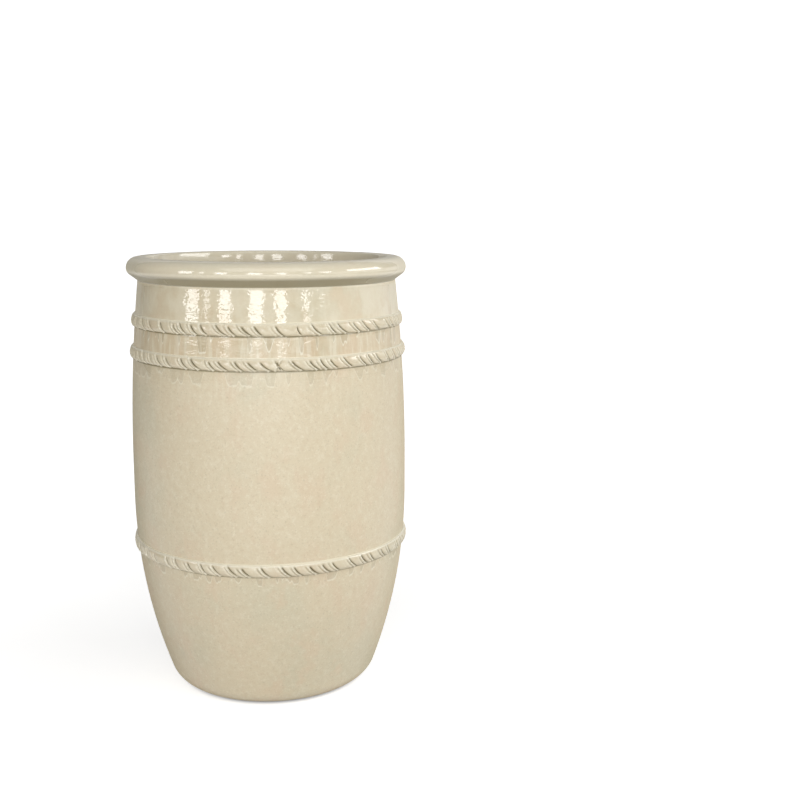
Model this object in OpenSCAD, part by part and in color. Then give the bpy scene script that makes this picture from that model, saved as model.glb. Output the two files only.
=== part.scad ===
// Tall barrel-shaped glazed ceramic pot with a rolled rim and three rope bands.
// It is built as a potter builds it: a floor slab bedded on a turned-in foot,
// three wall sections lapped and luted together, a rolled rim pressed over the
// top edge, and rolled clay ropes laid round the wall and cut with a slanting tool.
// Millimetres, +Z up. The origin is the centre of the foot, on the ground.

/* [Body] */
// Overall height, from the ground to the top of the rim
height = 815; // [660:1:980]
// Outside radius of the straight drum, the widest part of the wall
belly_r = 259; // [205:1:320]
// Height where the lower curve meets the straight drum
drum_low = 370; // [320:1:440]
// Height where the straight drum meets the upper curve
drum_high = 430; // [380:1:500]
// Radius of the curve that draws the wall in towards the foot
lower_curve_r = 1000; // [850:10:1300]
// Radius of the curve that draws the wall in towards the rim
upper_curve_r = 3100; // [2500:50:5000]
// Thickness of the wall
wall = 17; // [12:0.5:21]

/* [Foot and floor] */
// Radius of the rounded corner at the foot
foot_round = 44; // [30:1:48]
// Width of the flat ring that stands on the ground
foot_ring_w = 24; // [14:1:40]
// Height of the hollow under the floor slab
foot_recess = 8; // [4:0.5:12]
// Thickness of the floor slab
floor_t = 20; // [14:0.5:28]
// Radius of the drain hole
drain_r = 19; // [10:0.5:30]
// Height and width of the coil pressed into the corner round the floor
floor_coil_w = 18; // [10:0.5:26]
// Thickness left at the thin edges of that coil
floor_coil_edge = 1.5; // [1:0.1:3]

/* [Rim] */
// Height of the rolled rim, from where its underside leaves the wall to its top
rim_h = 42.5; // [42:0.5:56]
// Width of the rolled rim, inside to outside
rim_w = 40; // [32:0.5:41.5]
// How far the rim stands out past the wall just below it
rim_overhang = 20; // [10:0.5:26]
// Radius of the rim's outer edge, between its round top and its sloping underside
rim_edge_r = 15; // [10:0.5:18]
// Radius of the rim's inner edge, between its top and its upright inside face
rim_lip_r = 8; // [4:0.5:14]
// How far the top edge of the wall is set up into the rim
rim_key = 10; // [6:0.5:14]

/* [Rope bands] */
// Height of the middle of the lower rope above the ground
lower_rope_z = 281; // [220:1:320]
// Depth of the middle of the middle rope below the top of the rim
middle_rope_drop = 172.5; // [150:0.5:260]
// Depth of the middle of the upper rope below the top of the rim
upper_rope_drop = 113.5; // [80:0.5:128]
// Height of a rope where it lies on the wall
rope_h = 22; // [16:0.5:28]
// How far a rope stands out from the wall
rope_proud = 8; // [5:0.5:10]
// Number of tool marks round each rope, counting the one left out at its join
rope_marks = 60; // [40:1:76]
// Lean of the tool marks from upright, top to the left, in degrees
mark_slant = 35; // [15:1:50]
// Radius of the round-nosed tool that makes the marks
mark_r = 2.5; // [1.5:0.1:4]
// Depth of the marks at the crest of the rope
mark_depth = 2.5; // [1:0.1:3]
// Radius of the tool's sweep over a rope, from its upper edge to its lower edge
mark_sweep_r = 17.5; // [15:0.5:24]

/* [Lap joints] */
// Rise of a lap joint for each millimetre across the wall, from outside to inside
lap_rise = 0.5; // [0:0.05:1]

/* [Hidden] */

// Direction from +X of the join in each rope, where its two ends meet
lower_join = 100;
middle_join = 280;
upper_join = 288;

// Facets of a full circle, for small rounds and for the long curves of the wall
$fn = 96;
long_fn = 720;

glaze_cream = [0.86, 0.81, 0.69];
glaze_rope = [0.88, 0.84, 0.73];
bare_clay = [0.76, 0.62, 0.48];

floor_top = foot_recess + floor_t;
rim_bottom = height - rim_h;
wall_top = rim_bottom + rim_key;
middle_rope_z = height - middle_rope_drop;
upper_rope_z = height - upper_rope_drop;

// Distance the wall has drawn in at a height dz away from the end of the straight drum
function drawn_in(curve_r, dz) = curve_r - sqrt(pow(curve_r, 2) - pow(dz, 2));

// Outside radius of the wall at height z, above the rounded foot
function wall_r(z) =
    z > drum_high ? belly_r - drawn_in(upper_curve_r, z - drum_high)
    : z < drum_low ? belly_r - drawn_in(lower_curve_r, drum_low - z)
    : belly_r;

// Change of that radius for each millimetre up
function wall_lean(z) =
    z > drum_high ? -(z - drum_high) / sqrt(pow(upper_curve_r, 2) - pow(z - drum_high, 2))
    : z < drum_low ? (drum_low - z) / sqrt(pow(lower_curve_r, 2) - pow(drum_low - z, 2))
    : 0;

// The rounded foot touches the ground at foot_r and runs into the lower curve at foot_meet_z
foot_reach = lower_curve_r - foot_round;
foot_fall = drum_low - foot_round;
foot_r = belly_r - lower_curve_r + sqrt(pow(foot_reach, 2) - pow(foot_fall, 2));
foot_meet_z = drum_low - lower_curve_r * foot_fall / foot_reach;

// The rim's underside runs straight from the wall to its rounded outer edge
under_r = wall_r(rim_bottom);
rim_outer_r = under_r + rim_overhang;
rim_inner_r = rim_outer_r - rim_w;
rim_mid_r = rim_outer_r - rim_w / 2;
rim_mid_z = height - rim_w / 2;
edge_mid_r = rim_outer_r - rim_edge_r;
edge_gap = norm([edge_mid_r - under_r, rim_mid_z - rim_bottom]);
under_slope = atan2(rim_mid_z - rim_bottom, edge_mid_r - under_r) - asin(rim_edge_r / edge_gap);

// A rope is a round coil whose back is flattened against the wall
rope_r = (pow(rope_h / 2, 2) + pow(rope_proud, 2)) / (2 * rope_proud);

// Half outline of what lies inside the wall's outer face moved in by inset, between two heights
module body_half(inset, z_low, z_high) {
    translate([0, drum_low])
        square([belly_r - inset, drum_high - drum_low]);
    intersection() {
        translate([belly_r - upper_curve_r, drum_high])
            circle(upper_curve_r - inset, $fn = long_fn);
        translate([0, drum_low])
            square([2 * belly_r, z_high - drum_low]);
    }
    intersection() {
        translate([belly_r - lower_curve_r, drum_low])
            circle(lower_curve_r - inset, $fn = long_fn);
        translate([0, z_low])
            square([2 * belly_r, drum_high - z_low]);
    }
}

// Half outline of the rounded foot, from the ground up to the lower curve
module foot_half() {
    square([foot_r, foot_meet_z]);
    intersection() {
        translate([foot_r, foot_round])
            circle(foot_round);
        square([2 * belly_r, foot_meet_z]);
    }
}

// Half outline of the hollow inside the wall, from the ledge under the floor upwards
module hollow_half() {
    body_half(wall, foot_recess, height);
}

// Half section of the whole wall, from the foot ring to the edge inside the rim
module wall_half() {
    difference() {
        union() {
            body_half(0, foot_meet_z, wall_top);
            foot_half();
        }
        hollow_half();
        square([foot_r - foot_ring_w, floor_top]);
    }
}

// Height at radius x of the sloping lap joint that meets the outside of the wall at height z
function lap_z(z, x) = z + lap_rise * (wall_r(z) - x);

// Half plane strip between two lap joints, or straight ends where a joint height is undef
module lap_strip(z_low, z_high) {
    far = 2 * belly_r;
    low = is_undef(z_low) ? [0, 0] : [lap_z(z_low, 0), lap_z(z_low, far)];
    high = is_undef(z_high) ? [height, height] : [lap_z(z_high, 0), lap_z(z_high, far)];
    polygon([[0, low[0]], [far, low[1]], [far, high[1]], [0, high[0]]]);
}

module wall_section(z_low, z_high) {
    rotate_extrude()
        intersection() {
            wall_half();
            lap_strip(z_low, z_high);
        }
}

module base_slab() {
    color(bare_clay)
        rotate_extrude()
            difference() {
                intersection() {
                    hollow_half();
                    translate([0, foot_recess])
                        square([belly_r, floor_t]);
                }
                square([drain_r, height]);
            }
}

module floor_coil() {
    corner_r = wall_r(floor_top) - wall;
    color(bare_clay)
        rotate_extrude()
            difference() {
                intersection() {
                    hollow_half();
                    translate([corner_r - floor_coil_w, floor_top])
                        square([2 * floor_coil_w, floor_coil_w]);
                }
                // The smoothing thumb leaves a hollow face
                translate([corner_r - floor_coil_w, floor_top + floor_coil_w])
                    circle(floor_coil_w - floor_coil_edge);
            }
}

module lower_wall() {
    color(glaze_cream)
        wall_section(undef, lower_rope_z);
}

module middle_wall() {
    color(glaze_cream)
        wall_section(lower_rope_z, middle_rope_z);
}

module neck_wall() {
    color(glaze_cream)
        wall_section(middle_rope_z, undef);
}

// Half section of the rim as if no wall stood inside it
module rim_half() {
    in_r = under_r - wall / 2;
    difference() {
        union() {
            for (z = [rim_bottom + rim_w / 2, rim_mid_z])
                translate([rim_mid_r, z])
                    circle(rim_w / 2);
            // The inside face stands upright and the inner half of the top lies level
            translate([rim_inner_r, rim_bottom + rim_w / 2])
                square([rim_w / 2, rim_h - rim_w / 2]);
        }
        translate([in_r, rim_bottom - 1])
            square([2 * rim_w, rim_mid_z - rim_bottom + 1]);
        // The corner between them is rounded off
        difference() {
            translate([rim_inner_r - 1, height - rim_lip_r])
                square(rim_lip_r + 1);
            translate([rim_inner_r + rim_lip_r, height - rim_lip_r])
                circle(rim_lip_r);
        }
    }
    translate([edge_mid_r, rim_mid_z])
        circle(rim_edge_r);
    // The straight underside touches the rounded edge at the fourth of these corners
    polygon([
        [in_r - 1, rim_mid_z + 1],
        [in_r - 1, rim_bottom],
        [under_r, rim_bottom],
        [edge_mid_r + rim_edge_r * sin(under_slope), rim_mid_z - rim_edge_r * cos(under_slope)],
        [edge_mid_r, rim_mid_z + 1]
    ]);
}

module rim_roll() {
    color(glaze_cream)
        rotate_extrude()
            difference() {
                rim_half();
                wall_half();
            }
}

// Half section of a rope at height z, its flattened back square to the wall
module rope_half(z) {
    translate([wall_r(z), z])
        rotate(-atan(wall_lean(z)))
            difference() {
                translate([rope_proud - rope_r, 0])
                    circle(rope_r);
                translate([-2 * rope_r, -2 * rope_r])
                    square([2 * rope_r, 4 * rope_r]);
            }
}

// One slanting tool mark, swept over the crest of the rope at height z
module rope_mark(z, direction) {
    rotate(direction)
        translate([wall_r(z), 0, z])
            rotate([0, atan(wall_lean(z)), 0])
                translate([rope_proud - mark_depth + mark_r - mark_sweep_r, 0, 0])
                    rotate([mark_slant - 90, 0, 0])
                        rotate(-90)
                            rotate_extrude(angle = 180)
                                translate([mark_sweep_r, 0])
                                    circle(mark_r);
}

// A rope laid round the wall at height z, with a plain stretch where its ends are joined
module rope(z, join) {
    color(glaze_rope)
        difference() {
            rotate_extrude()
                rope_half(z);
            for (i = [1 : rope_marks - 1])
                rope_mark(z, join + i * 360 / rope_marks);
        }
}

module lower_rope() {
    rope(lower_rope_z, lower_join);
}

module middle_rope() {
    rope(middle_rope_z, middle_join);
}

module upper_rope() {
    rope(upper_rope_z, upper_join);
}

base_slab();
floor_coil();
lower_wall();
middle_wall();
neck_wall();
rim_roll();
lower_rope();
middle_rope();
upper_rope();
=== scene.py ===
import math

import bpy
import numpy as np
from bpy.props import FloatProperty, FloatVectorProperty, IntProperty, PointerProperty
from mathutils import Matrix, Vector


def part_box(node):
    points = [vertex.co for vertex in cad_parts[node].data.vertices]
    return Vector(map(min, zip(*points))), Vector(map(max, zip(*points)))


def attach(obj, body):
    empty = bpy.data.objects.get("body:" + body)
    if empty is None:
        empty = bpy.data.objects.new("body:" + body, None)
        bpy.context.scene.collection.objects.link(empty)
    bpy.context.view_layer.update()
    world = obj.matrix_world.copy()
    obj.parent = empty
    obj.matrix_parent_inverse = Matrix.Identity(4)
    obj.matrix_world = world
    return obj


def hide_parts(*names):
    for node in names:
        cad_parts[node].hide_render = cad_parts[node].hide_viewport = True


bl_info = {
    "name": "Rope-banded pot",
    "version": (1, 0, 0),
    "blender": (4, 5, 0),
    "location": "3D View > Sidebar > Pot",
    "description": "Builds a tall cream-glazed pot: thrown wall, rolled rim, rope bands, floor and studio",
    "category": "Add Mesh",
}

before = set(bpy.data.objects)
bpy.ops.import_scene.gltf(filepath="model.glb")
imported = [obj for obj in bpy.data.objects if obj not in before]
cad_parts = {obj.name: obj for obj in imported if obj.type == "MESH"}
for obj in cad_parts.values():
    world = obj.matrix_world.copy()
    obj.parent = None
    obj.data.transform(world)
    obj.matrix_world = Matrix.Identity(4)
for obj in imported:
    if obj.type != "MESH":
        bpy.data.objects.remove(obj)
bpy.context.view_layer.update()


# Settings


def length(name, description, default):
    return FloatProperty(
        name=name, description=description, default=default, min=0.0, precision=4, unit="LENGTH"
    )


def colour(name, description, default):
    return FloatVectorProperty(
        name=name, description=description, default=default, min=0.0, max=1.0, size=3, subtype="COLOR"
    )


class PotSizes(bpy.types.PropertyGroup):
    """Sizes of the pot, as a potter would set them out."""

    height: length("Height", "From the ground to the top of the rim", 0.815)
    belly: length("Belly radius", "Outside radius of the straight drum", 0.259)
    drum_low: length("Drum foot", "Height where the lower curve meets the straight drum", 0.370)
    drum_high: length("Drum head", "Height where the straight drum meets the upper curve", 0.430)
    lower_curve: length("Lower curve", "Radius of the curve that draws the wall in to the foot", 1.000)
    upper_curve: length("Upper curve", "Radius of the curve that draws the wall in to the rim", 3.100)
    wall: length("Wall", "Thickness of the wall", 0.017)
    lap_rise: FloatProperty(
        name="Lap rise",
        description="Rise of a lap joint across the wall, as a share of its width",
        default=0.5,
    )
    foot_round: length("Foot round", "Radius of the rounded corner at the foot", 0.044)
    foot_ring: length("Foot ring", "Width of the flat ring that stands on the ground", 0.024)
    foot_recess: length("Foot recess", "Height of the hollow under the floor slab", 0.008)
    floor: length("Floor", "Thickness of the floor slab", 0.020)
    drain: length("Drain", "Radius of the drain hole", 0.019)
    coil: length("Floor coil", "Height and width of the coil in the floor's corner", 0.018)
    coil_edge: length("Coil edge", "Thickness left at the coil's thin edges", 0.0015)
    rim_height: length("Rim height", "From the foot of the rim's underside to its top", 0.0425)
    rim_width: length("Rim width", "Width of the rolled rim", 0.040)
    rim_overhang: length("Rim overhang", "How far the rim stands out past the wall", 0.020)
    rim_edge: length("Rim edge", "Radius of the rim's outer edge over its sloping underside", 0.015)
    rim_face: length("Rim face", "Radius of the slow curve of the rim's inside face", 0.100)
    rim_lip: length("Rim lip", "Radius of the rim's inner edge, between its top and inside face", 0.004)
    rim_key: length("Rim key", "How far the wall's top edge is set up into the rim", 0.010)
    lower_rope: length("Lower rope", "Height of the lower rope's middle", 0.281)
    middle_rope: length("Middle rope", "Height of the middle rope's middle", 0.6425)
    upper_rope: length("Upper rope", "Height of the upper rope's middle", 0.7015)
    rope_height: length("Rope height", "Height of a rope where it lies on the wall", 0.022)
    rope_proud: length("Rope stand-out", "How far a rope stands out from the wall", 0.008)
    rope_marks: IntProperty(
        name="Tool marks", description="Tool marks round each rope", default=60, min=1
    )


class GlazeColours(bpy.types.PropertyGroup):
    """Colours of the glaze and the clay; some also serve as painted shade and painted highlights."""

    cream: colour("Cream", "Main glaze", (0.70, 0.605, 0.430))
    cool: colour("Cool cream", "Thicker, greener patches of the glaze", (0.655, 0.590, 0.425))
    warm: colour("Warm cream", "Thinner, pinker patches of the glaze", (0.700, 0.575, 0.405))
    # Also painted highlights on the ropes' burrs and along their tops
    pale: colour("Pale", "Glaze drawn thin and white along edges and runs", (0.840, 0.790, 0.640))
    # Also painted shade under the ropes, in their cuts and under the rim
    pooled_and_shade: colour("Pooled", "Olive glaze gathered in cuts and corners", (0.250, 0.215, 0.120))
    # Also painted shade in the cuts and a painted contact shadow along the foot
    deep_and_shade: colour("Deep", "Glaze at the bottom of the deepest cuts", (0.135, 0.112, 0.058))
    tan: colour("Tan", "Tan breaks in the glaze", (0.610, 0.475, 0.300))
    clay: colour("Clay", "Bare fired clay", (0.470, 0.350, 0.240))
    ground: colour("Ground", "Studio floor", (0.600, 0.595, 0.580))


# Finishes

# A fired glaze mirrors a little more than plain glass
GLAZE_IOR = 1.62

# Ring on which the runs and streaks are laid out, about as wide as the drum
RING_RADIUS = 0.25


class Wire:
    """One socket of a finish. Sums and products add Math nodes, so a finish reads as a formula."""

    def __init__(self, finish, socket):
        self.finish = finish
        self.socket = socket

    def math(self, operation, *others):
        values = dict(enumerate((self, *others)))
        return self.finish.node("ShaderNodeMath", {"operation": operation}, values)

    def __add__(self, other):
        return self.math("ADD", other)

    __radd__ = __add__

    def __mul__(self, other):
        return self.math("MULTIPLY", other)

    __rmul__ = __mul__

    def __sub__(self, other):
        return self.math("SUBTRACT", other)

    def __rsub__(self, other):
        return self.finish.node("ShaderNodeMath", {"operation": "SUBTRACT"}, {0: other, 1: self})

    def __abs__(self):
        return self.math("ABSOLUTE")

    def most(self, other):
        """The larger of the two."""
        return self.math("MAXIMUM", other)

    def rise(self, low, high):
        """Smooth step from 0 at low to 1 at high; falls where high is the lower."""
        return self.finish.node(
            "ShaderNodeMapRange",
            {"interpolation_type": "SMOOTHSTEP"},
            {"Value": self, "From Min": low, "From Max": high},
        )

    def out(self, name):
        """Another output of the node this wire comes from."""
        return Wire(self.finish, self.socket.node.outputs[name])


class Finish:
    """A material that is put together from formulas."""

    def __init__(self, name):
        self.material = bpy.data.materials.new(name)
        self.material.use_nodes = True
        self.tree = self.material.node_tree
        self.tree.nodes.clear()
        self.place = self.node("ShaderNodeTexCoord", output="Object")
        self.height = self.node("ShaderNodeSeparateXYZ", {}, {0: self.place}, "Z")

    def node(self, kind, settings=None, inputs=None, output=0):
        """Any node: its type, its settings, then the values or wires of its sockets."""
        made = self.tree.nodes.new(kind)
        for key, value in (settings or {}).items():
            setattr(made, key, value)
        for key, value in (inputs or {}).items():
            if isinstance(value, Wire):
                self.tree.links.new(value.socket, made.inputs[key])
            else:
                made.inputs[key].default_value = value
        return Wire(self, made.outputs[output]) if made.outputs else None

    def noise(self, vector, scale, detail=2.0, roughness=0.5):
        """Cloudy pattern from 0 to 1, with about that many clouds to a metre."""
        values = {"Vector": vector, "Scale": scale, "Detail": detail, "Roughness": roughness}
        return self.node("ShaderNodeTexNoise", {}, values)

    def times(self, vector, factors):
        """A place stretched or flattened along the axes."""
        return self.node("ShaderNodeVectorMath", {"operation": "MULTIPLY"}, {0: vector, 1: factors})

    def blend(self, amount, first, second):
        """Colour that goes from the first to the second with the amount."""
        values = {0: amount, 6: tone(first), 7: tone(second)}
        return self.node("ShaderNodeMix", {"data_type": "RGBA"}, values, 2)

    def trait(self, name):
        """A number that the mesh keeps at each of its points."""
        return self.node("ShaderNodeAttribute", {"attribute_name": name}, {}, "Fac")

    def bump(self, rise):
        """Surface relief from a height in metres."""
        return self.node("ShaderNodeBump", {}, {"Strength": 1.0, "Distance": 1.0, "Height": rise})

    def close(self, **sockets):
        """Feeds the shader's sockets, named with underscores for spaces, and returns the material."""
        values = {name.replace("_", " "): value for name, value in sockets.items()}
        shader = self.node("ShaderNodeBsdfPrincipled", {}, values)
        self.node("ShaderNodeOutputMaterial", {}, {"Surface": shader})
        return self.material


def tone(value):
    """A colour socket's value: wires stay as they are and plain colours gain their alpha."""
    return value if isinstance(value, Wire) else (*value, 1.0)


def around(finish):
    """Place on the pot as a point on a level ring, so that runs fall straight down the wall."""
    flat = finish.times(finish.place, (1.0, 1.0, 0.0))
    unit = finish.node("ShaderNodeVectorMath", {"operation": "NORMALIZE"}, {0: flat})
    return finish.times(unit, (RING_RADIUS, RING_RADIUS, 0.0))


def streaks(finish, ring, scale, fall):
    """Noise drawn out down the wall."""
    low = finish.node("ShaderNodeCombineXYZ", {}, {2: finish.height * fall})
    path = finish.node("ShaderNodeVectorMath", {"operation": "ADD"}, {0: ring, 1: low})
    return finish.noise(path, scale, 2.0, 0.55)


def runs(finish, ring, below, spacing, longest, share):
    """Tongues of glaze under a rope: how much a place is inside one, and how much on its outline."""
    wave = finish.noise(ring, 1.0 / spacing, 1.0, 0.45)
    reach = wave.rise(share, share + 0.20) * longest
    depth = reach - below
    hangs = below.rise(-0.001, 0.001)
    inside = depth.rise(0.0, 0.0030) * hangs
    near = depth.rise(-0.0026, -0.0004) * depth.rise(0.0034, 0.0010)
    return inside, near * reach.rise(0.003, 0.007) * hangs


def glaze_ground(finish, colours):
    """The glaze's own colour, cream with cool and warm clouds and small mottles, and three patterns."""
    cloud = finish.noise(finish.place, 7.0, 3.0, 0.5)
    patch = finish.noise(finish.times(finish.place, (1.0, 1.0, 0.7)), 19.0, 4.0, 0.55)
    mottle = finish.noise(finish.place, 105.0, 3.0, 0.6)
    speck = finish.noise(finish.place, 330.0, 2.0, 0.6)
    base = finish.blend(cloud.rise(0.46, 0.66) * 0.9, colours.cream, colours.cool)
    base = finish.blend(patch.rise(0.50, 0.68) * 0.8, base, colours.warm)
    base = finish.blend(mottle.rise(0.52, 0.68) * 0.22, base, colours.pale)
    base = finish.blend(mottle.rise(0.47, 0.32) * 0.22, base, colours.tan)
    return base, cloud, patch, speck


def edge_on(finish):
    """Rises to 1 where the surface is seen nearly edge-on, where a fired glaze looks duller."""
    facing = finish.node("ShaderNodeLayerWeight", {}, {"Blend": 0.5}, "Facing")
    return facing.rise(0.50, 0.88)


def ripples(finish, size):
    """Uneven skin of a thick glaze, in metres: broad swells with finer peel and folds on them."""
    swell = finish.noise(finish.times(finish.place, (1.0, 1.0, 0.8)), 48.0, 1.0, 0.5)
    peel = finish.noise(finish.times(finish.place, (1.0, 1.0, 2.0)), 115.0, 1.0, 0.5)
    fold = finish.noise(finish.times(finish.place, (1.0, 1.0, 1.7)), 85.0, 0.0, 0.5) - 0.5
    return (swell * 0.00030 + peel * 0.00020 + abs(fold) * 0.00034) * size


def wall_glaze(sizes, colours):
    """Glaze of the wall: glossy and rippled at the neck, satin on the drum, runs under the ropes."""
    f = Finish("wall_glaze")
    ring = around(f)
    base, cloud, patch, speck = glaze_ground(f, colours)
    z = f.height
    half = sizes.rope_height / 2
    inner = f.trait("inside")
    outer = 1 - inner

    neck = z.rise(sizes.upper_rope - half, sizes.upper_rope + half)
    between = z.rise(sizes.middle_rope, sizes.middle_rope + half) * (1 - neck) * outer
    drum = z.rise(sizes.middle_rope, sizes.middle_rope - half)
    drawn = streaks(f, ring, 140.0, 0.12)
    fine = streaks(f, ring, 310.0, 0.08)

    under_upper = sizes.upper_rope - half - z
    under_middle = sizes.middle_rope - half - z
    under_lower = sizes.lower_rope - half - z

    # Runs under each rope: spacing and greatest length in metres, how rare they are, and strength
    wander = streaks(f, ring, 60.0, 1.0) * 0.012 - 0.006
    shade, edge = 0.0, 0.0
    for below, spacing, longest, share, strength in (
        (under_upper, 0.016, 0.030, 0.46, 1.0),
        (under_middle, 0.021, 0.026, 0.40, 0.65),
        (under_lower, 0.013, 0.017, 0.44, 0.85),
    ):
        fall = below + wander * below.rise(0.0, 0.012)
        inside, outline = runs(f, ring, fall, spacing, longest, share)
        shade = inside * outer * strength + shade
        edge = outline * outer * strength + edge

    drum_head = under_middle.rise(0.10, 0.0) * drum * outer
    pale_streak = drawn.rise(0.50, 0.64) * (between * 0.9 + drum_head * 0.4)
    tan_streak = drawn.rise(0.50, 0.38) * between * 0.8
    tan_streak = tan_streak + fine.rise(0.55, 0.68) * (between * 0.5 + 0.10)

    # Painted shade along the underside of each rope, partly glaze gathered there, and a painted highlight
    # along its top, partly thin glaze
    crease_shade, top_highlight = 0.0, 0.0
    for below in (under_upper, under_middle, under_lower):
        line = below.rise(-0.004, -0.001) * below.rise(0.0034, 0.0008)
        crease_shade = line * outer + crease_shade
    for rope in (sizes.lower_rope, sizes.middle_rope, sizes.upper_rope):
        above = z - (rope + half)
        line = above.rise(-0.003, -0.001) * above.rise(0.0018, 0.0004)
        top_highlight = line * outer + top_highlight
    spot = speck.rise(0.58, 0.72) * drum
    dark_spot = speck.rise(0.42, 0.28) * drum

    base = f.blend(neck * 0.25, base, colours.cool)
    base = f.blend(patch.rise(0.60, 0.42) * neck * 0.36, base, colours.pale)
    base = f.blend(between * 0.15 + tan_streak * 0.31, base, colours.tan)
    base = f.blend(shade * 0.20, base, colours.pooled_and_shade)
    base = f.blend(pale_streak * 0.38 + edge * 0.68, base, colours.pale)
    base = f.blend(spot * 0.42, base, colours.pale)
    base = f.blend(dark_spot * 0.20, base, colours.pooled_and_shade)
    # painted shade under the ropes, partly gathered glaze
    base = f.blend(crease_shade * 0.85, base, colours.pooled_and_shade)
    # painted highlight along the ropes' tops, partly thin glaze
    base = f.blend(top_highlight * 0.80, base, colours.pale)

    # The glaze ends in a ragged line over the foot and another one inside
    foot_bare = (z + f.noise(ring, 40.0, 3.0, 0.6) * 0.006).rise(0.0095, 0.0070)
    inner_bare = (z + f.noise(ring, 9.0, 4.0, 0.6) * 0.10).rise(0.640, 0.632) * inner
    bare = foot_bare.most(inner_bare)
    grog = f.noise(f.place, 420.0, 3.0, 0.7)
    clay = f.blend(grog.rise(0.35, 0.75) * 0.5, colours.clay, colours.tan)
    # Painted contact shadow: the bare clay turns dark along the bottom few millimetres
    clay = f.blend(z.rise(0.0045, 0.0025) * 0.85, clay, colours.deep_and_shade)
    base = f.blend(bare, base, clay)

    satin = z.rise(sizes.middle_rope + half, sizes.middle_rope - 0.060)
    rim_foot = sizes.height - sizes.rim_height
    under_rim = z.rise(rim_foot - 0.0065, rim_foot - 0.0025) * outer
    bead = under_upper.rise(0.0002, 0.0022) * under_upper.rise(0.0066, 0.0032) * outer
    relief = ripples(f, 1.0) + fine * between * 0.00010 + shade * 0.00020 - edge * 0.00006
    relief = relief + speck * drum * 0.00006 + bare * grog * 0.0003 + bead * 0.00022
    gloss = 0.05 + satin * 0.34 + cloud * 0.05 + bare * 0.40
    gloss = gloss + under_rim * 0.30 + between * 0.06 + edge_on(f) * 0.45
    return f.close(Base_Color=base, Roughness=gloss, IOR=GLAZE_IOR, Normal=f.bump(relief))


def rim_glaze(sizes, colours):
    """Glaze of the rolled rim: even and glossy, paler towards its crown, with painted shade on its outer
    underside.
    """
    f = Finish("rim_glaze")
    base, cloud, patch, speck = glaze_ground(f, colours)
    crown = f.height.rise(sizes.height - 0.012, sizes.height)
    underside_shade = f.height.rise(sizes.height - 0.024, sizes.height - 0.032)
    inner = f.trait("inside")
    base = f.blend(0.30, base, colours.cool)
    base = f.blend(crown * 0.30 + speck.rise(0.62, 0.74) * 0.15 + 0.36, base, colours.pale)
    # painted shade on the rim's outer underside
    base = f.blend(underside_shade * (1 - inner) * 0.80, base, colours.pooled_and_shade)
    base = f.blend(patch.rise(0.62, 0.76) * 0.20, base, colours.tan)
    gloss = 0.07 + cloud * 0.05 + edge_on(f) * 0.45
    skin = ripples(f, 0.22 + inner * 0.35)
    return f.close(Base_Color=base, Roughness=gloss, IOR=GLAZE_IOR, Normal=f.bump(skin))


def rope_glaze(colours):
    """Glaze of the ropes: dark in the tool's cuts, from glaze gathered there and painted shade, and pale
    on the burr beside them, partly thin glaze and partly a painted highlight.
    """
    f = Finish("rope_glaze")
    base, cloud, patch, speck = glaze_ground(f, colours)
    cut, lip = f.trait("cut"), f.trait("lip")
    under, over = f.trait("under"), f.trait("over")
    base = f.blend(0.30, base, colours.cool)
    base = f.blend(patch.rise(0.58, 0.72) * 0.25, base, colours.tan)
    # painted highlight on the burrs, partly thin glaze, and along the rope's top
    base = f.blend(speck.rise(0.55, 0.70) * 0.30 + lip * 0.95 + over * 0.85, base, colours.pale)
    # painted shade on the rope's underside, partly gathered glaze
    base = f.blend(under * 0.60, base, colours.pooled_and_shade)
    # dark in the cuts: gathered glaze, partly painted shade
    base = f.blend(cut * 0.75, base, colours.pooled_and_shade)
    base = f.blend(cut.rise(0.55, 0.95) * 0.75, base, colours.deep_and_shade)
    gloss = 0.14 + cloud * 0.08 + cut * 0.2 + edge_on(f) * 0.40
    skin = ripples(f, 0.8) + speck * 0.00006
    return f.close(Base_Color=base, Roughness=gloss, IOR=GLAZE_IOR, Normal=f.bump(skin))


def bare_clay(colours):
    """Fired clay without glaze, with stains, grog and sand."""
    f = Finish("bare_clay")
    grog = f.noise(f.place, 380.0, 3.0, 0.7)
    stain = f.noise(f.place, 14.0, 4.0, 0.6)
    sand = f.noise(f.place, 1300.0, 1.0, 0.5)
    base = f.blend(stain.rise(0.40, 0.66) * 0.55, colours.clay, colours.tan)
    base = f.blend(grog.rise(0.60, 0.72) * 0.35, base, colours.pale)
    base = f.blend(sand.rise(0.34, 0.26) * 0.5, base, colours.pooled_and_shade)
    return f.close(
        Base_Color=base,
        Roughness=0.78 + stain * 0.14,
        Normal=f.bump(grog * 0.0004 + sand * 0.00012),
    )


# Shapes


# Faces that meet at more than this many degrees keep a crisp edge between them
CRISP_EDGE = 40

# Share of a row of the flat layout that is left empty at its top and at its bottom
ROW_MARGIN = 0.02

# A piece may differ by this much from the box of the part it stands for
FIT_LIMIT = 0.006

# Softened inner edge of the foot ring, and the start of its flat
FOOT_EDGE = 0.0012
FOOT_FLAT = 0.006


def face_radius(z, s, inset=0.0):
    """Radius of the wall at height z, on a face set that far in from its outside."""
    above = np.maximum(z - s.drum_high, 0.0)
    below = np.maximum(s.drum_low - z, 0.0)
    upper, lower = s.upper_curve - inset, s.lower_curve - inset
    drawn = upper - np.sqrt(upper**2 - above**2) + lower - np.sqrt(lower**2 - below**2)
    return s.belly - inset - drawn


def wall_lean(z, s):
    """Change of the wall's radius for each metre up."""
    near = 1e-4
    return (face_radius(z + near, s) - face_radius(z - near, s)) / (2 * near)


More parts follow.
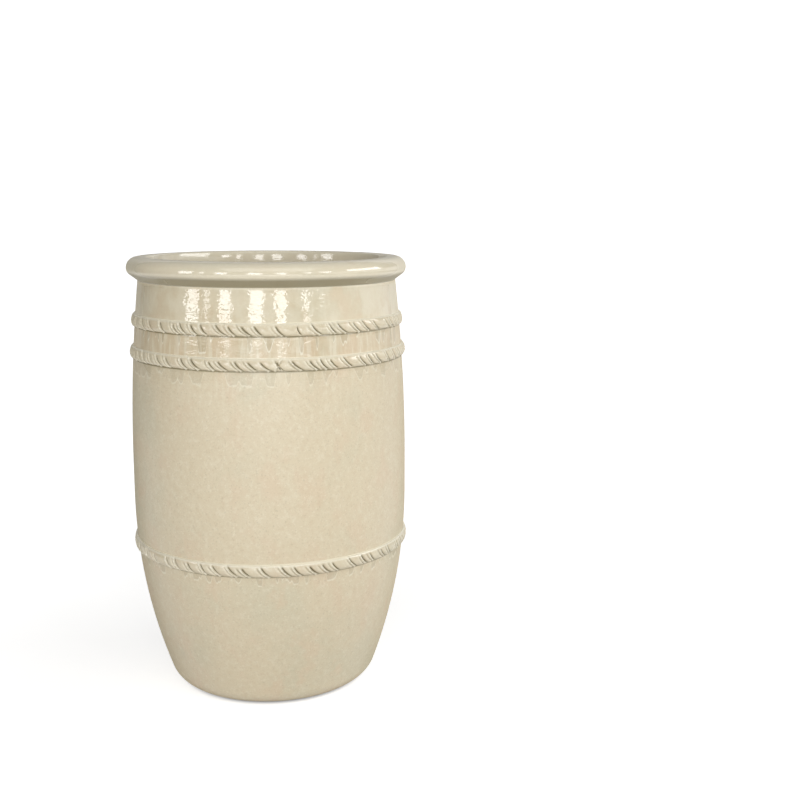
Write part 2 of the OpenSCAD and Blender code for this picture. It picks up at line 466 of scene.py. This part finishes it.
def stray(angle, z):
    """How far the thrown wall strays from true, out or in, at a direction and height."""
    sway = 0.00035 * np.sin(2 * angle + 3.1 * z) + 0.00025 * np.sin(3 * angle - 4.3 * z + 1.0)
    rings = 0.00005 * np.sin(2 * np.pi * z / 0.019 + angle + 0.7 * np.sin(41 * z))
    return sway + rings


def step(value, low, high):
    """Smooth step from 0 at low to 1 at high."""
    t = np.clip((value - low) / (high - low), 0.0, 1.0)
    return t * t * (3 - 2 * t)


def directions(count):
    """Evenly spaced directions round the axis."""
    return np.arange(count) * (2 * np.pi / count)


def ring_piece(name, angles, r, z, rows=1, traits=None):
    """A closed band that goes once round the axis; r and z hold one section for each direction."""
    steps, points = r.shape
    co = np.stack([r * np.cos(angles)[:, None], r * np.sin(angles)[:, None], z], -1).reshape(-1, 3)
    at = np.arange(steps * points).reshape(steps, points)
    on, up = np.roll(at, -1, 0), np.roll(at, -1, 1)
    faces = np.stack([at, on, np.roll(on, -1, 1), up], -1).reshape(-1, 4)
    mesh = bpy.data.meshes.new(name)
    mesh.from_pydata(co.tolist(), [], faces.tolist())

    # The skin is laid out flat in a few long rows, one under another
    mean_r, mean_z = r.mean(0), z.mean(0)
    run = np.hypot(np.diff(mean_r, append=mean_r[:1]), np.diff(mean_z, append=mean_z[:1]))
    far = np.concatenate([[0.0], np.cumsum(run)]) / run.sum()
    far = ROW_MARGIN + (1 - 2 * ROW_MARGIN) * far
    row = np.arange(steps) * rows // steps
    u0 = np.arange(steps) * rows / steps - row
    u1 = np.arange(1, steps + 1) * rows / steps - row
    uv = np.empty((steps, points, 4, 2))
    uv[..., 0, 0] = uv[..., 3, 0] = u0[:, None]
    uv[..., 1, 0] = uv[..., 2, 0] = u1[:, None]
    uv[..., 0, 1] = uv[..., 1, 1] = (row[:, None] + far[None, :-1]) / rows
    uv[..., 2, 1] = uv[..., 3, 1] = (row[:, None] + far[None, 1:]) / rows
    mesh.uv_layers.new(name="OFBake").data.foreach_set("uv", uv.ravel())

    for trait, values in (traits or {}).items():
        spread = np.broadcast_to(values, r.shape).astype(np.float32)
        mesh.attributes.new(trait, "FLOAT", "POINT").data.foreach_set("value", spread.ravel())
    mesh.polygons.foreach_set("use_smooth", np.ones(len(faces), dtype=bool))
    mesh.set_sharp_from_angle(angle=math.radians(CRISP_EDGE))
    mesh.update()
    piece = bpy.data.objects.new(name, mesh)
    bpy.context.scene.collection.objects.link(piece)
    return piece


def seat(piece, node, material):
    """Gives a piece its finish and place in the frame, and checks it against the part it stands for."""
    piece.data.materials.append(material)
    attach(piece, "root")
    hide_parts(node)
    low, high = (np.array(corner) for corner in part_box(node))
    co = np.empty(len(piece.data.vertices) * 3)
    piece.data.vertices.foreach_get("co", co)
    co = co.reshape(-1, 3)
    off = max(np.abs(co.min(0) - low).max(), np.abs(co.max(0) - high).max())
    if off > FIT_LIMIT:
        raise RuntimeError(f"{node}: the piece differs from its part by {off * 1000:.1f} mm")


def lap_line(z, s, count):
    """Radii and heights of a lap joint, from the outside of the wall to its inside."""
    outer = face_radius(z, s)
    inner_z = z
    for _ in range(20):
        inner_z = z + s.lap_rise * (outer - face_radius(inner_z, s, s.wall))
    r = np.linspace(outer, face_radius(inner_z, s, s.wall), count)
    return r, z + s.lap_rise * (outer - r)


def foot_line(s):
    """Radii and heights of the foot, from the ring's inner edge to where the lower curve begins."""
    reach, fall = s.lower_curve - s.foot_round, s.drum_low - s.foot_round
    stand = s.belly - s.lower_curve + math.sqrt(reach**2 - fall**2)
    meet = s.drum_low - s.lower_curve * fall / reach
    inner = stand - s.foot_ring
    turn = np.linspace(-math.pi / 2, math.asin((meet - s.foot_round) / s.foot_round), 26)
    flat = np.linspace(inner + FOOT_FLAT, stand, 4)[:-1]
    r = np.concatenate([[inner, inner + FOOT_EDGE], flat, stand + s.foot_round * np.cos(turn)])
    z = np.concatenate([[FOOT_EDGE, 0.0], np.zeros(3), s.foot_round + s.foot_round * np.sin(turn)])
    return r, z, meet, inner


# Sections of the pieces


# Points round the pot, and the longest steps up the wall's two faces
ROUND_STEPS = 480
ROPE_STEPS = 2160
FLOOR_STEPS = 360
OUTER_STEP = 0.004
INNER_STEP = 0.006
FEWEST_STEPS = 12

# The thrown wall is true at the ground and strays fully from this height up
TRUE_FOOT = 0.06

# Small softened edges and fillets that the sizes don't state
RIM_FILLET = 0.0035
SLOT_LAP = 0.0006
DRAIN_EDGE = 0.0025
ROPE_BACK = 0.0015


class Section:
    """Outline of a ring-shaped piece, put together run by run, with a mark at each point."""

    def __init__(self):
        self.runs = []

    def add(self, r, z, mark=0.0):
        self.runs.append(np.broadcast_arrays(r, z, mark))

    def joined(self):
        """Radii, heights and marks of all points."""
        return [np.concatenate(part) for part in zip(*self.runs)]


def arc(r, z, radius, turn):
    """Radii and heights along an arc round a centre."""
    return r + radius * np.cos(turn), z + radius * np.sin(turn)


def wall_section(s, low, high):
    """Section of a wall piece from one lap joint, or the foot, to the next one, or the top edge.

    The inside face is marked.
    """
    section = Section()
    if low is None:
        foot_r, foot_z, start, ring_in = foot_line(s)
        section.add(foot_r, foot_z)
        low_in = s.foot_recess
    else:
        start = low
        low_in = lap_line(low, s, 2)[1][-1]
    top = s.height - s.rim_height + s.rim_key if high is None else high
    outer = np.linspace(start, top, max(FEWEST_STEPS, int((top - start) / OUTER_STEP)))
    if low is None:
        outer = outer[1:]
    section.add(face_radius(outer, s), outer)
    if high is None:
        over_r = np.linspace(face_radius(top, s), face_radius(top, s, s.wall), 6)
        over_z = np.full(6, top)
    else:
        over_r, over_z = lap_line(high, s, 6)
    section.add(over_r[1:-1], over_z[1:-1])
    high_in = over_z[-1]
    inner = np.linspace(high_in, low_in, max(FEWEST_STEPS, int((high_in - low_in) / INNER_STEP)))
    section.add(face_radius(inner, s, s.wall), inner, 1.0)
    if low is None:
        section.add(np.linspace(face_radius(low_in, s, s.wall), ring_in, 7)[1:], s.foot_recess)
    else:
        back_r, back_z = lap_line(low, s, 6)
        section.add(back_r[-2:0:-1], back_z[-2:0:-1])
    return section.joined()


def rim_section(s):
    """Section of the rolled rim, from its underside over the top to its slot; its inside is marked."""
    section = Section()
    bottom = s.height - s.rim_height
    under = float(face_radius(bottom, s))
    half = s.rim_width / 2
    mid_r, mid_z = under + s.rim_overhang - half, s.height - half
    edge_r = under + s.rim_overhang - s.rim_edge
    gap = math.hypot(edge_r - under, mid_z - bottom)
    slope = math.atan2(mid_z - bottom, edge_r - under) - math.asin(s.rim_edge / gap)

    # A small hollow fillet of slip runs up the wall into the straight underside
    start = bottom - RIM_FILLET * math.tan((math.pi / 2 - slope) / 2)
    bend = np.linspace(math.pi, math.pi / 2 + slope, 6)
    fillet_r, fillet_z = arc(under + RIM_FILLET, start, RIM_FILLET, bend)
    section.add(fillet_r, fillet_z)
    touch_r, touch_z = arc(edge_r, mid_z, s.rim_edge, slope - math.pi / 2)
    last_r, last_z = fillet_r[-1], fillet_z[-1]
    line = np.linspace(0, 1, 8)[1:-1]
    section.add(last_r + (touch_r - last_r) * line, last_z + (touch_z - last_z) * line)
    section.add(*arc(edge_r, mid_z, s.rim_edge, np.linspace(slope - math.pi / 2, 0, 12)[:-1]))
    section.add(*arc(mid_r, mid_z, half, np.linspace(0, math.pi / 2, 24)))

    # The top runs level to the inner edge, and the inside face curves slowly down from it
    low_mid = bottom + half
    face_r, lip_z = mid_r - half + s.rim_face, s.height - s.rim_lip
    meet = math.pi - math.asin((lip_z - low_mid) / (s.rim_face - s.rim_lip))
    lip_r = face_r + (s.rim_face - s.rim_lip) * math.cos(meet)
    section.add(np.linspace(mid_r, lip_r, 8)[1:-1], s.height)
    lip = np.linspace(math.pi / 2, meet, 12)
    section.add(*arc(lip_r, lip_z, s.rim_lip, lip), step(lip, 1.7, 2.8))
    section.add(*arc(face_r, low_mid, s.rim_face, np.linspace(meet, math.pi, 14)[1:-1]), 1.0)

    # It tucks in under to the slot, which lies on the wall's top edge and outside face
    wall_top = bottom + s.rim_key
    slot_r = float(face_radius(wall_top, s, s.wall))
    drop = math.acos((mid_r - slot_r) / half)
    section.add(*arc(mid_r, low_mid, half, np.linspace(math.pi, math.pi + drop, 8)), 1.0)
    section.add(np.linspace(slot_r, under, 6)[1:], wall_top)
    back = np.linspace(wall_top, start, 5)[1:]
    section.add(face_radius(back, s) - SLOT_LAP, back)
    return section.joined()


def slab_section(s):
    """Section of the floor slab: out from the drain under it, back over it and down the drain."""
    section = Section()
    low, top = s.foot_recess, s.foot_recess + s.floor
    lip = s.drain + DRAIN_EDGE
    section.add(np.linspace(lip, face_radius(low, s, s.wall), 24), low)
    side = np.linspace(low, top, 6)[1:]
    section.add(face_radius(side, s, s.wall), side)
    section.add(np.linspace(face_radius(top, s, s.wall), lip, 90)[1:], top)
    quarter = np.radians(np.linspace(90, 180, 5))
    section.add(*arc(lip, top - DRAIN_EDGE, DRAIN_EDGE, quarter[1:]))
    section.add(s.drain, np.linspace(top - DRAIN_EDGE, low + DRAIN_EDGE, 5)[1:-1])
    section.add(*arc(lip, low + DRAIN_EDGE, DRAIN_EDGE, quarter[:-1] + math.pi / 2))
    return section.joined()


def coil_section(s):
    """Section of the coil in the floor's corner; the hollow face that a thumb smoothed is marked."""
    section = Section()
    top = s.foot_recess + s.floor
    inner = float(face_radius(top, s)) - s.wall - s.coil
    section.add(np.linspace(inner, face_radius(top, s, s.wall), 7), top)
    wall_side = np.linspace(top, top + s.coil, 9)[1:]
    section.add(face_radius(wall_side, s, s.wall), wall_side)
    smooth = np.radians(np.linspace(0, -90, 18))
    section.add(*arc(inner, top + s.coil, s.coil - s.coil_edge, smooth), np.sin(-2 * smooth))
    return section.joined()


# Ropes


# The tool's strokes: spacing against the mean, lean in degrees, and depth, width and burr in metres
STROKE_GAP = (0.62, 1.38)
STROKE_LEAN = (33, 44)
STROKE_DEPTH = (0.0024, 0.0036)
STROKE_WIDTH = (0.0011, 0.0016)
STROKE_BURR = (0.0008, 0.0015)

# Lighter second strokes beside most of them
SECOND_SHARE = 0.85
SECOND_AWAY = (0.0068, 0.0090)
SECOND_TURN = (-0.06, 0.06)
SECOND_DEPTH = (0.0010, 0.0018)
SECOND_WIDTH, SECOND_BURR = 0.0009, 0.0004

# How far along the rope one stroke is felt, and how its burr and its wide dent lie
STROKE_REACH = 0.026
BURR_AWAY, BURR_WIDTH = 0.0030, 0.0016
DENT_WIDTH, DENT_SHARE = 0.005, 0.35

# Depth and burr from which a stroke is fully dark and its burr fully pale
FULL_DEPTH, FULL_BURR = 0.0022, 0.0009

# The rope: what its front leaves free for burrs, its hang, and how far a strand's foot is pushed down
ROPE_SPARE, ROPE_HANG, STRAND_FOOT = 0.0014, 0.0024, 0.0018


def waver(rng, angles, size, waves):
    """A slow, closed hand-made wobble round the pot."""
    total = np.zeros_like(angles)
    for n in range(1, waves + 1):
        total += np.sin(n * angles + rng.uniform(0, 2 * np.pi)) * rng.uniform(0.3, 1.0) / n**0.5
    return size * total / np.abs(total).max()


def tool_strokes(rng, girth, count, join, crossing):
    """Place along the rope, lean, depth, width and burr of each stroke of the tool."""
    gaps = rng.uniform(*STROKE_GAP, count)
    places = join + np.cumsum(gaps) * girth / gaps.sum()
    strokes = []
    for place in places[:-1]:
        lean = math.radians(rng.uniform(*STROKE_LEAN))
        depth = rng.uniform(*STROKE_DEPTH)
        width = rng.uniform(*STROKE_WIDTH)
        strokes.append((place, lean, depth, width, rng.uniform(*STROKE_BURR)))
        if rng.random() < SECOND_SHARE:
            beside = place - rng.uniform(*SECOND_AWAY)
            turned = lean + rng.uniform(*SECOND_TURN)
            strokes.append((beside, turned, rng.uniform(*SECOND_DEPTH), SECOND_WIDTH, SECOND_BURR))

    # The rope's two ends meet in a steeper cut, and one rope has two crossing strokes
    strokes.append((join, math.radians(18), 0.0030, 0.0012, 0.0))
    if crossing is not None:
        strokes.append((crossing, math.radians(-30), 0.0012, 0.0010, 0.0006))
        strokes.append((crossing, math.radians(36), 0.0020, 0.0011, 0.0012))
    return strokes


def past(along, place, girth):
    """How far past a place each point of the rope lies, the shorter way round."""
    return (along - place + girth / 2) % girth - girth / 2


def bell(distance, width):
    """1 at no distance, falling off smoothly over the width."""
    return np.exp(-((distance / width) ** 2))


def cut_marks(rng, along, v, girth, strokes):
    """What the strokes do to a rope: how far they push the clay, and where the cuts and burrs are."""
    push = np.zeros((len(along), len(v)))
    cut, lip = np.zeros_like(push), np.zeros_like(push)
    for place, lean, depth, width, burr in strokes:
        low, high = rng.uniform(-0.0112, -0.0088), rng.uniform(0.0066, 0.0098)
        bow = rng.uniform(5.0, 25.0)
        knob = rng.uniform(0.0045, 0.0065)
        knobs = 1 + 0.35 * np.sin(2 * np.pi * v / knob + rng.uniform(0, 6.28))
        x = past(along, place, girth)
        near = np.nonzero(np.abs(x) < STROKE_REACH)[0]
        line = v * math.tan(lean) - bow * (v - 0.002) ** 2
        d = (x[near, None] + line[None, :]) * math.cos(lean)
        held = step(v, low - 0.002, low + 0.0015) * (1 - step(v, high - 0.0015, high + 0.002))
        groove = bell(d, width) * held
        raised = bell(d + BURR_AWAY, BURR_WIDTH) * held * knobs
        dent = DENT_SHARE * bell(d, DENT_WIDTH) * held
        push[near] += burr * raised - depth * (groove + dent)
        cut[near] = np.maximum(cut[near], groove * min(1.0, depth / FULL_DEPTH))
        lip[near] = np.maximum(lip[near], np.minimum(raised, 1.0) * min(1.0, burr / FULL_BURR))
    return push, cut, lip * (1 - cut)


def rope_skin(s, z0, rng, angles, join_deg, cross_deg):
    """Radii and heights of a rope laid round the wall, and the traits that its finish uses."""
    r0 = float(face_radius(z0, s))
    girth = 2 * math.pi * r0
    along = angles * r0
    half = s.rope_height / 2
    turn = np.linspace(-math.pi / 2, math.pi / 2, 27)
    back = np.linspace(0.93, -0.93, 5)
    v = half * np.sin(turn)
    join = math.radians(join_deg) * r0
    crossing = None if cross_deg is None else math.radians(cross_deg) * r0
    strokes = tool_strokes(rng, girth, s.rope_marks, join, crossing)
    push, cut, lip = cut_marks(rng, along, v, girth, strokes)

    # Past the join the rope's lower end lies plain and a little thinner
    beyond = past(along, join, girth)
    thin = step(beyond, 0.0, 0.0012) * (1 - step(beyond, 0.011, 0.019))
    proud = s.rope_proud - ROPE_SPARE + waver(rng, angles, 0.0004, 9) - 0.0011 * thin
    tall = half + waver(rng, angles, 0.0006, 11)
    drift = waver(rng, angles, 0.0009, 6)

    # The rounded front hangs a little, and the tool's push works on it
    front, side = np.cos(turn), np.sin(turn)
    body = front**0.4
    out = proud[:, None] * front**0.8 + push * front * body
    rise = tall[:, None] * side - ROPE_HANG * front**2 + push * side * body * 0.5

    # The foot of each strand is pushed a little past the rope's lower edge
    foot = lip[:, np.abs(v + 0.0090).argmin()]
    rise = rise - STRAND_FOOT * foot[:, None] * step(-turn, 0.7, 1.3)[None, :]

    # The flat back is pressed into the wall
    hidden = np.zeros((len(angles), len(back)))
    out = np.concatenate([out, hidden - ROPE_BACK], 1)
    rise = np.concatenate([rise, tall[:, None] * back[None, :]], 1)

    lean = wall_lean(z0, s)
    size = math.hypot(1.0, lean)
    r = r0 + stray(angles, z0)[:, None] + (out + rise * lean) / size
    r = np.minimum(r, r0 + s.rope_proud / size)
    z = z0 + drift[:, None] + (rise - out * lean) / size
    # Where the finish puts the cuts' painted shade, the burrs' painted highlight, painted shade on the
    # underside and a painted highlight along the top
    traits = {
        "cut": np.concatenate([cut, hidden], 1),
        "lip": np.concatenate([lip, hidden], 1),
        "under": np.concatenate([step(-turn, 1.05, 1.5), hidden[0]]),
        "over": np.concatenate([step(turn, 0.85, 1.15), hidden[0]]),
    }
    return r, z, traits


# Makers of the pieces


# How far the rim sags, and the marks of fingers on the slab and of the thumb on the coil
RIM_SAG = 0.0007
FINGER_PITCH, FINGER_DEPTH = 0.013, 0.0005
THUMB_MARKS, THUMB_DEPTH = 34, 0.0007


class POT_OT_walls(bpy.types.Operator):
    """Throw the three wall sections, lapped under the ropes"""

    bl_idname = "pot.walls"
    bl_label = "Wall sections"

    def execute(self, context):
        s = context.scene.pot_sizes
        glaze = wall_glaze(s, context.scene.pot_colours)
        angles = directions(ROUND_STEPS)
        for node, low, high in (
            ("lower_wall", None, s.lower_rope),
            ("middle_wall", s.lower_rope, s.middle_rope),
            ("neck_wall", s.middle_rope, None),
        ):
            r, z, inside = wall_section(s, low, high)
            all_z = np.broadcast_to(z, (len(angles), len(z)))
            all_r = r[None, :] + stray(angles[:, None], all_z) * step(all_z, 0.0, TRUE_FOOT)
            piece = ring_piece("glazed_" + node, angles, all_r, all_z, 1, {"inside": inside})
            seat(piece, node, glaze)
        return {"FINISHED"}


class POT_OT_rim(bpy.types.Operator):
    """Roll the rim and press it over the wall's top edge"""

    bl_idname = "pot.rim"
    bl_label = "Rolled rim"

    def execute(self, context):
        s = context.scene.pot_sizes
        angles = directions(ROUND_STEPS)
        r, z, inside = rim_section(s)
        sag = RIM_SAG * (np.sin(2 * angles + 0.8) + np.sin(3 * angles + 2.0) - 2) / 4
        all_z = z[None, :] + sag[:, None] * step(z, s.height - s.rim_height, s.height)[None, :]
        all_r = r[None, :] + stray(angles[:, None], all_z)
        piece = ring_piece("glazed_rim_roll", angles, all_r, all_z, 2, {"inside": inside})
        seat(piece, "rim_roll", rim_glaze(s, context.scene.pot_colours))
        return {"FINISHED"}


class POT_OT_ropes(bpy.types.Operator):
    """Lay the three clay ropes round the wall and cut them with the slanting tool"""

    bl_idname = "pot.ropes"
    bl_label = "Rope bands"

    def execute(self, context):
        s = context.scene.pot_sizes
        glaze = rope_glaze(context.scene.pot_colours)
        angles = directions(ROPE_STEPS)
        # Node, height, seed, and the directions of its join and of its crossing strokes
        for node, z0, seed, join_deg, cross_deg in (
            ("lower_rope", s.lower_rope, 11, 100, None),
            ("middle_rope", s.middle_rope, 23, -80, -80),
            ("upper_rope", s.upper_rope, 37, -72, None),
        ):
            rng = np.random.default_rng(seed)
            r, z, traits = rope_skin(s, z0, rng, angles, join_deg, cross_deg)
            piece = ring_piece("glazed_" + node, angles, r, z, 6, traits)
            seat(piece, node, glaze)
        return {"FINISHED"}


class POT_OT_floor(bpy.types.Operator):
    """Bed the floor slab on the foot and press the coil into its corner"""

    bl_idname = "pot.floor"
    bl_label = "Floor slab and coil"

    def execute(self, context):
        s = context.scene.pot_sizes
        clay = bare_clay(context.scene.pot_colours)
        angles = directions(FLOOR_STEPS)

        # Shallow spiral of the maker's fingers on top of the slab
        r, z, _ = slab_section(s)
        on_top = z > s.foot_recess + s.floor - 0.0001
        worked = step(r, s.drain + 0.004, s.drain + 0.02) * (1 - step(r, 0.150, 0.160)) * on_top
        spiral = np.sin(2 * np.pi * r[None, :] / FINGER_PITCH + angles[:, None]) - 1
        all_r = np.broadcast_to(r, (len(angles), len(r)))
        all_z = z[None, :] + FINGER_DEPTH * worked[None, :] * spiral
        seat(ring_piece("clay_base_slab", angles, all_r, all_z, 1), "base_slab", clay)

        # Thumb marks along the coil
        r, z, face = coil_section(s)
        thumb = THUMB_DEPTH * (np.sin(THUMB_MARKS * angles + 2 * np.sin(5 * angles)) + 1)
        all_r = r[None, :] - thumb[:, None] * face[None, :]
        all_z = z[None, :] + thumb[:, None] * face[None, :]
        seat(ring_piece("clay_floor_coil", angles, all_r, all_z, 3), "floor_coil", clay)
        return {"FINISHED"}


# Studio


# Name, azimuth from the front and elevation in degrees, distance, width and height in metres, and
# radiance as a mirror shows it
SOFT_BOXES = (
    ("window_far_left", -59.3, 11.8, 4.0, 0.80, 1.07, 6.7),
    ("window_slim", -45.7, 11.8, 4.0, 0.22, 1.00, 4.8),
    ("window_left", -29.8, 11.8, 4.0, 0.60, 1.07, 7.1),
    ("window_middle", -3.9, 11.8, 4.0, 0.70, 1.07, 7.2),
    ("window_right", 16.0, 11.8, 4.0, 0.56, 1.07, 7.2),
    ("window_far_right", 37.4, 13.4, 4.0, 0.36, 1.00, 6.4),
    ("window_end", 51.5, 16.2, 4.0, 0.60, 0.50, 8.0),
    ("side_right", 95.0, 7, 3.4, 6.60, 1.10, 1.12),
    ("strip_right", 91.0, 22.5, 3.4, 2.20, 0.84, 6.2),
    ("front_high", 6.6, 48, 3.6, 4.00, 2.20, 1.45),
    ("front_low", 2.0, -2.4, 3.6, 4.40, 0.70, 1.8),
)

# Point that the soft boxes face
LAMP_AIM = (0.0, 0.0, 0.55)

# Even light from all round
AIR_FILL = 0.08
AIR_COLOUR = (0.97, 0.98, 1.0, 1.0)

# Paper sweep: its reach in front of and behind the pot, its bend, half its width, and its height
PAPER_FRONT, PAPER_BACK, PAPER_BEND = 8.0, 3.6, 1.2
PAPER_SIDE, PAPER_TALL = 3.4, 5.0
PAPER_GREY = (0.30, 0.30, 0.30)

# The eye's place, its tilt down and roll in degrees, and its lens and sensor in millimetres
EYE_PLACE = (0.2497, -2.1666, 0.9154)
EYE_TILT, EYE_ROLL = 9.834, 0.131
EYE_LENS, EYE_SENSOR = 51.507, 36.0


def softbox(name, azimuth, elevation, distance, width, height, radiance):
    """A rectangular lamp that faces the pot."""
    lamp = bpy.data.lights.new(name, "AREA")
    lamp.shape = "RECTANGLE"
    lamp.size, lamp.size_y = width, height
    lamp.energy = radiance * math.pi * width * height
    box = bpy.data.objects.new(name, lamp)
    a, e = math.radians(azimuth), math.radians(elevation)
    way = Vector((math.sin(a) * math.cos(e), -math.cos(a) * math.cos(e), math.sin(e)))
    box.location = Vector(LAMP_AIM) + way * distance
    box.rotation_euler = way.to_track_quat("Z", "Y").to_euler()
    bpy.context.scene.collection.objects.link(box)


def studio_paper(colours):
    """Grey paper that the eye sees as white, and that keeps the pot's shadow."""
    f = Finish("studio_paper")
    path = f.node("ShaderNodeLightPath", output="Is Camera Ray")
    seen = path.most(path.out("Is Glossy Ray")).most(path.out("Is Transmission Ray"))
    away = f.node("ShaderNodeVectorMath", {"operation": "LENGTH"}, {0: f.place}, "Value")
    # Painted contact shadow: the paper's glow dims in a ring round the pot's foot
    shadow = away.rise(0.162, 0.184) * 0.85 + 0.15
    white = (away.rise(0.3, 1.6) * 0.25 + 0.72) * shadow * seen
    glow = f.node("ShaderNodeCombineColor", {}, {0: white, 1: white, 2: white})
    return f.close(
        Base_Color=f.blend(f.noise(f.place, 3.0) * 0.1, colours.ground, PAPER_GREY),
        Roughness=0.9,
        Specular_IOR_Level=0.0,
        Emission_Color=glow,
        Emission_Strength=1.0,
    )


def studio_sweep():
    """A floor of paper that curves up into a wall behind the pot."""
    turn = np.linspace(0.0, math.pi / 2, 17)
    y = [-PAPER_FRONT, *(PAPER_BACK + PAPER_BEND * np.sin(turn)), PAPER_BACK + PAPER_BEND]
    z = [0.0, *(PAPER_BEND * (1 - np.cos(turn))), PAPER_TALL]
    points = [(x, y[i], z[i]) for i in range(len(y)) for x in (-PAPER_SIDE, PAPER_SIDE)]
    faces = [(2 * i, 2 * i + 1, 2 * i + 3, 2 * i + 2) for i in range(len(y) - 1)]
    mesh = bpy.data.meshes.new("studio_paper")
    mesh.from_pydata(points, [], faces)
    mesh.polygons.foreach_set("use_smooth", np.ones(len(faces), dtype=bool))
    paper = bpy.data.objects.new("studio_paper", mesh)
    bpy.context.scene.collection.objects.link(paper)
    return paper


class POT_OT_stage(bpy.types.Operator):
    """Set up the studio: paper sweep, window-like soft boxes and the camera"""

    bl_idname = "pot.stage"
    bl_label = "Studio"

    def execute(self, context):
        scene = context.scene
        paper = studio_sweep()
        paper.data.materials.append(studio_paper(scene.pot_colours))

        air = bpy.data.worlds.new("studio_air")
        air.use_nodes = True
        fill = air.node_tree.nodes["Background"]
        fill.inputs["Color"].default_value = AIR_COLOUR
        fill.inputs["Strength"].default_value = AIR_FILL
        scene.world = air

        for box in SOFT_BOXES:
            softbox(*box)

        lens = bpy.data.cameras.new("photo_eye")
        lens.lens = EYE_LENS
        lens.sensor_width = EYE_SENSOR
        lens.sensor_fit = "HORIZONTAL"
        camera = bpy.data.objects.new("photo_eye", lens)
        tilt = Matrix.Rotation(math.radians(90 - EYE_TILT), 4, "X")
        roll = Matrix.Rotation(math.radians(EYE_ROLL), 4, "Z")
        camera.matrix_world = Matrix.Translation(EYE_PLACE) @ tilt @ roll
        scene.collection.objects.link(camera)
        scene.camera = camera
        scene.view_settings.view_transform = "Standard"
        return {"FINISHED"}


class POT_PT_panel(bpy.types.Panel):
    """Makers of the pot, in order"""

    bl_idname = "POT_PT_panel"
    bl_label = "Rope-banded pot"
    bl_space_type = "VIEW_3D"
    bl_region_type = "UI"
    bl_category = "Pot"

    def draw(self, context):
        column = self.layout.column()
        for maker in MAKERS:
            column.operator(maker.bl_idname)
        for group in (context.scene.pot_sizes, context.scene.pot_colours):
            for key in group.bl_rna.properties.keys():
                if key not in {"rna_type", "name"}:
                    column.prop(group, key)


MAKERS = (POT_OT_walls, POT_OT_rim, POT_OT_ropes, POT_OT_floor, POT_OT_stage)
CLASSES = (PotSizes, GlazeColours, *MAKERS, POT_PT_panel)


def register():
    for item in CLASSES:
        bpy.utils.register_class(item)
    bpy.types.Scene.pot_sizes = PointerProperty(type=PotSizes)
    bpy.types.Scene.pot_colours = PointerProperty(type=GlazeColours)


def unregister():
    del bpy.types.Scene.pot_colours
    del bpy.types.Scene.pot_sizes
    for item in reversed(CLASSES):
        bpy.utils.unregister_class(item)


def main():
    register()
    bpy.ops.pot.walls()
    bpy.ops.pot.rim()
    bpy.ops.pot.ropes()
    bpy.ops.pot.floor()
    bpy.ops.pot.stage()
    bpy.context.view_layer.update()


if __name__ == "__main__":
    main()
